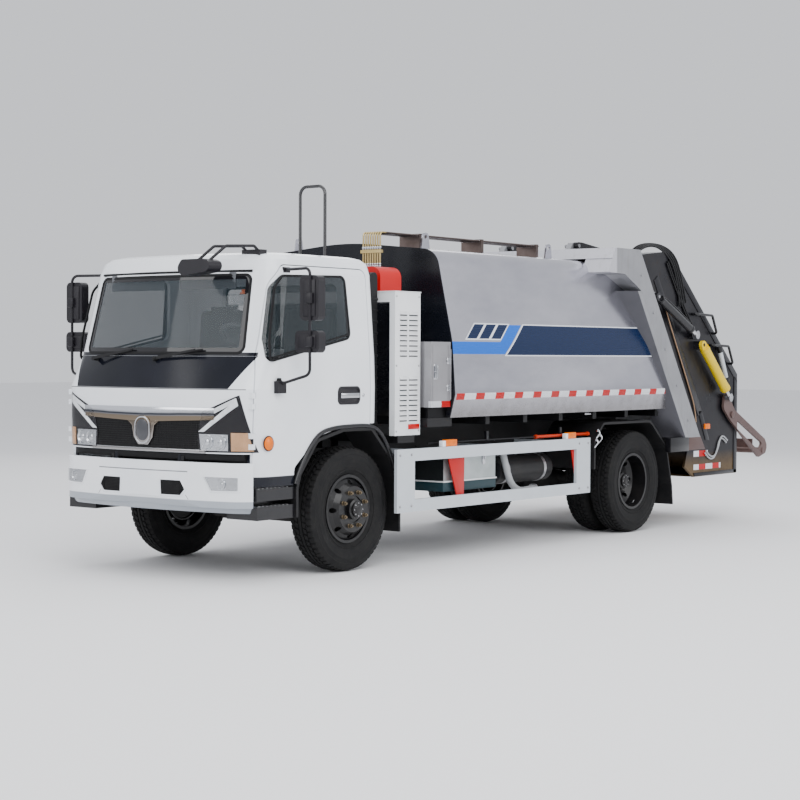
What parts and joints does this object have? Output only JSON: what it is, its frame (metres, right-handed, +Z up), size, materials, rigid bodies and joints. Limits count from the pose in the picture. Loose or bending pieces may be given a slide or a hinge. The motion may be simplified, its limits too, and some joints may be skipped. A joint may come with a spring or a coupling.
{
  "type": "garbage truck",
  "caption": "Rear-loading garbage truck: tilting cab, closed container with ejector, lifting tailgate with packer blade and bin lifter.",
  "frame": {"origin": "on the ground, midway between the sides and midway between the bumper's front and the lifter's tips", "axes": "-Y forward, +X to the truck's left, +Z up"},
  "size_m": [2.7, 8.27, 3.104],
  "materials": {
    "white_paint": "gloss",
    "black_plastic": "matte",
    "window_glass": "clear",
    "lamp_glass": "gloss",
    "seat_cloth": "woven",
    "tyre_rubber": "matte",
    "rim_paint": "satin",
    "chassis_paint": "satin",
    "aluminium_sheet": "brushed",
    "guard_grey": "satin",
    "cabinet_grey": "satin",
    "valve_red": "gloss",
    "pipe_steel": "brushed",
    "stainless": "satin",
    "worn_steel": "worn",
    "lifter_paint": "worn",
    "cylinder_yellow": "gloss"
  },
  "bodies": {
    "chassis": {"air_intake": "black_plastic", "battery_box": "aluminium_sheet", "cabinet_box": "cabinet_grey", "container_shell": "stainless", "engine_block": "chassis_paint", "frame_rails": "chassis_paint", "front_axle_beam": "chassis_paint", "front_bumper": "white_paint", "leaf_springs": "chassis_paint", "louvre_portal": "white_paint", "mudguards": "black_plastic", "radiator": "chassis_paint", "rear_axle": "chassis_paint", "rear_ring": "stainless", "roof_pipes": "pipe_steel", "side_guards": "guard_grey", "steps": "white_paint", "sub_frame": "chassis_paint", "tanks": "chassis_paint", "valve_cover": "valve_red"},
    "cab": {"cab_shell": "white_paint", "cab_glass": "window_glass", "front_grille": "black_plastic", "headlamps": "lamp_glass", "dashboard": "black_plastic", "seats": "seat_cloth", "front_mirror": "black_plastic", "wipers": "black_plastic"},
    "door_left_body": {"door_left": "white_paint", "door_glass_left": "window_glass", "mirrors_left": "black_plastic"},
    "door_right_body": {"door_right": "white_paint", "door_glass_right": "window_glass", "mirrors_right": "black_plastic"},
    "cabinet_leaf": {"cabinet_door": "cabinet_grey"},
    "steering_left": {"knuckle_left": "chassis_paint"},
    "steering_right": {"knuckle_right": "chassis_paint"},
    "track_rod_body": {"track_rod": "chassis_paint"},
    "front_wheel_left": {"front_tyre_left": "tyre_rubber", "front_rim_left": "rim_paint"},
    "front_wheel_right": {"front_tyre_right": "tyre_rubber", "front_rim_right": "rim_paint"},
    "rear_wheels_left": {"rear_tyres_left": "tyre_rubber", "rear_rims_left": "rim_paint"},
    "rear_wheels_right": {"rear_tyres_right": "tyre_rubber", "rear_rims_right": "rim_paint"},
    "ejector": {"ejector_plate": "worn_steel"},
    "tailgate": {"tailgate_shell": "stainless", "grab_rails": "guard_grey"},
    "packer_carriage": {"slide_plate": "worn_steel"},
    "packer": {"packer_blade": "worn_steel"},
    "bin_lifter": {"lifter_frame": "lifter_paint"},
    "lift_cylinder_barrels": {"lift_barrels": "chassis_paint"},
    "lift_cylinder_rods": {"lift_rods": "pipe_steel"},
    "bin_cylinder_barrels": {"bin_barrels": "cylinder_yellow"},
    "bin_cylinder_rods": {"bin_rods": "pipe_steel"}
  },
  "joints": [
    {"name": "steering_left_turn", "type": "hinge", "parent": "chassis", "child": "steering_left", "pos_m": [0.76, -2.825, 0.487], "axis": [0, 0, 1], "range_deg": [-35, 35]},
    {"name": "steering_right_turn", "type": "hinge", "parent": "chassis", "child": "steering_right", "pos_m": [-0.76, -2.825, 0.487], "axis": [0, 0, 1], "range_deg": [-35, 35]},
    {"name": "track_rod_turn", "type": "hinge", "parent": "steering_left", "child": "track_rod_body", "pos_m": [0.76, -2.66, 0.4], "axis": [0, 0, 1], "range_deg": [-35, 35]},
    {"name": "front_left_spin", "type": "hinge", "parent": "steering_left", "child": "front_wheel_left", "pos_m": [0.87, -2.825, 0.487], "axis": [1, 0, 0], "continuous": true},
    {"name": "front_right_spin", "type": "hinge", "parent": "steering_right", "child": "front_wheel_right", "pos_m": [-0.87, -2.825, 0.487], "axis": [1, 0, 0], "continuous": true},
    {"name": "rear_left_spin", "type": "hinge", "parent": "chassis", "child": "rear_wheels_left", "pos_m": [0.825, 1.375, 0.487], "axis": [1, 0, 0], "continuous": true},
    {"name": "rear_right_spin", "type": "hinge", "parent": "chassis", "child": "rear_wheels_right", "pos_m": [-0.825, 1.375, 0.487], "axis": [1, 0, 0], "continuous": true},
    {"name": "cab_tilt", "type": "hinge", "parent": "chassis", "child": "cab", "pos_m": [0, -4.04, 0.9], "axis": [1, 0, 0], "range_deg": [0, 45]},
    {"name": "door_left_swing", "type": "hinge", "parent": "cab", "child": "door_left_body", "pos_m": [0.973, -3.93, 1.4], "axis": [0, 0, -1], "range_deg": [0, 70]},
    {"name": "door_right_swing", "type": "hinge", "parent": "cab", "child": "door_right_body", "pos_m": [-0.973, -3.93, 1.4], "axis": [0, 0, 1], "range_deg": [0, 70]},
    {"name": "cabinet_door_swing", "type": "hinge", "parent": "chassis", "child": "cabinet_leaf", "pos_m": [1.118, -1.699, 1.53], "axis": [0, 0, 1], "range_deg": [0, 90]},
    {"name": "ejector_travel", "type": "slide", "parent": "chassis", "child": "ejector", "axis": [0, 1, 0], "range_m": [0, 2.85]},
    {"name": "tailgate_lift", "type": "hinge", "parent": "chassis", "child": "tailgate", "pos_m": [0, 1.325, 2.755], "axis": [1, 0, 0], "range_deg": [0, 65]},
    {"name": "packer_slide", "type": "slide", "parent": "tailgate", "child": "packer_carriage", "axis": [0, -0.5569, 0.8306], "range_m": [0, 0.65]},
    {"name": "packer_swing", "type": "hinge", "parent": "packer_carriage", "child": "packer", "pos_m": [0, 2.775, 1.35], "axis": [1, 0, 0], "range_deg": [0, 70]},
    {"name": "bin_lifter_swing", "type": "hinge", "parent": "tailgate", "child": "bin_lifter", "pos_m": [0, 3.325, 1.08], "axis": [1, 0, 0], "range_deg": [0, 100]},
    {"name": "lift_barrel_turn", "type": "hinge", "parent": "chassis", "child": "lift_cylinder_barrels", "pos_m": [0, 1.675, 2.26], "axis": [1, 0, 0], "range_deg": [0, 76.65]},
    {"name": "lift_rod_travel", "type": "slide", "parent": "lift_cylinder_barrels", "child": "lift_cylinder_rods", "axis": [0, 0.91, -0.4147], "range_m": [0, 0.60955]},
    {"name": "bin_barrel_turn", "type": "hinge", "parent": "tailgate", "child": "bin_cylinder_barrels", "pos_m": [0, 2.595, 1.8], "axis": [1, 0, 0], "range_deg": [-14.82, 0]},
    {"name": "bin_rod_travel", "type": "slide", "parent": "bin_cylinder_barrels", "child": "bin_cylinder_rods", "axis": [0, 0.7433, -0.669], "range_m": [0, 0.24355]}
  ],
  "couplings": [
    {"joint": "steering_right_turn", "follows": "steering_left_turn", "ratio": 1},
    {"joint": "track_rod_turn", "follows": "steering_left_turn", "ratio": -1},
    {"joint": "lift_barrel_turn", "follows": "tailgate_lift", "ratio": 1.1792},
    {"joint": "lift_rod_travel", "follows": "tailgate_lift", "m_per_rad": 0.5373},
    {"joint": "bin_barrel_turn", "follows": "bin_lifter_swing", "ratio": -0.14816},
    {"joint": "bin_rod_travel", "follows": "bin_lifter_swing", "m_per_rad": 0.13954}
  ]
}
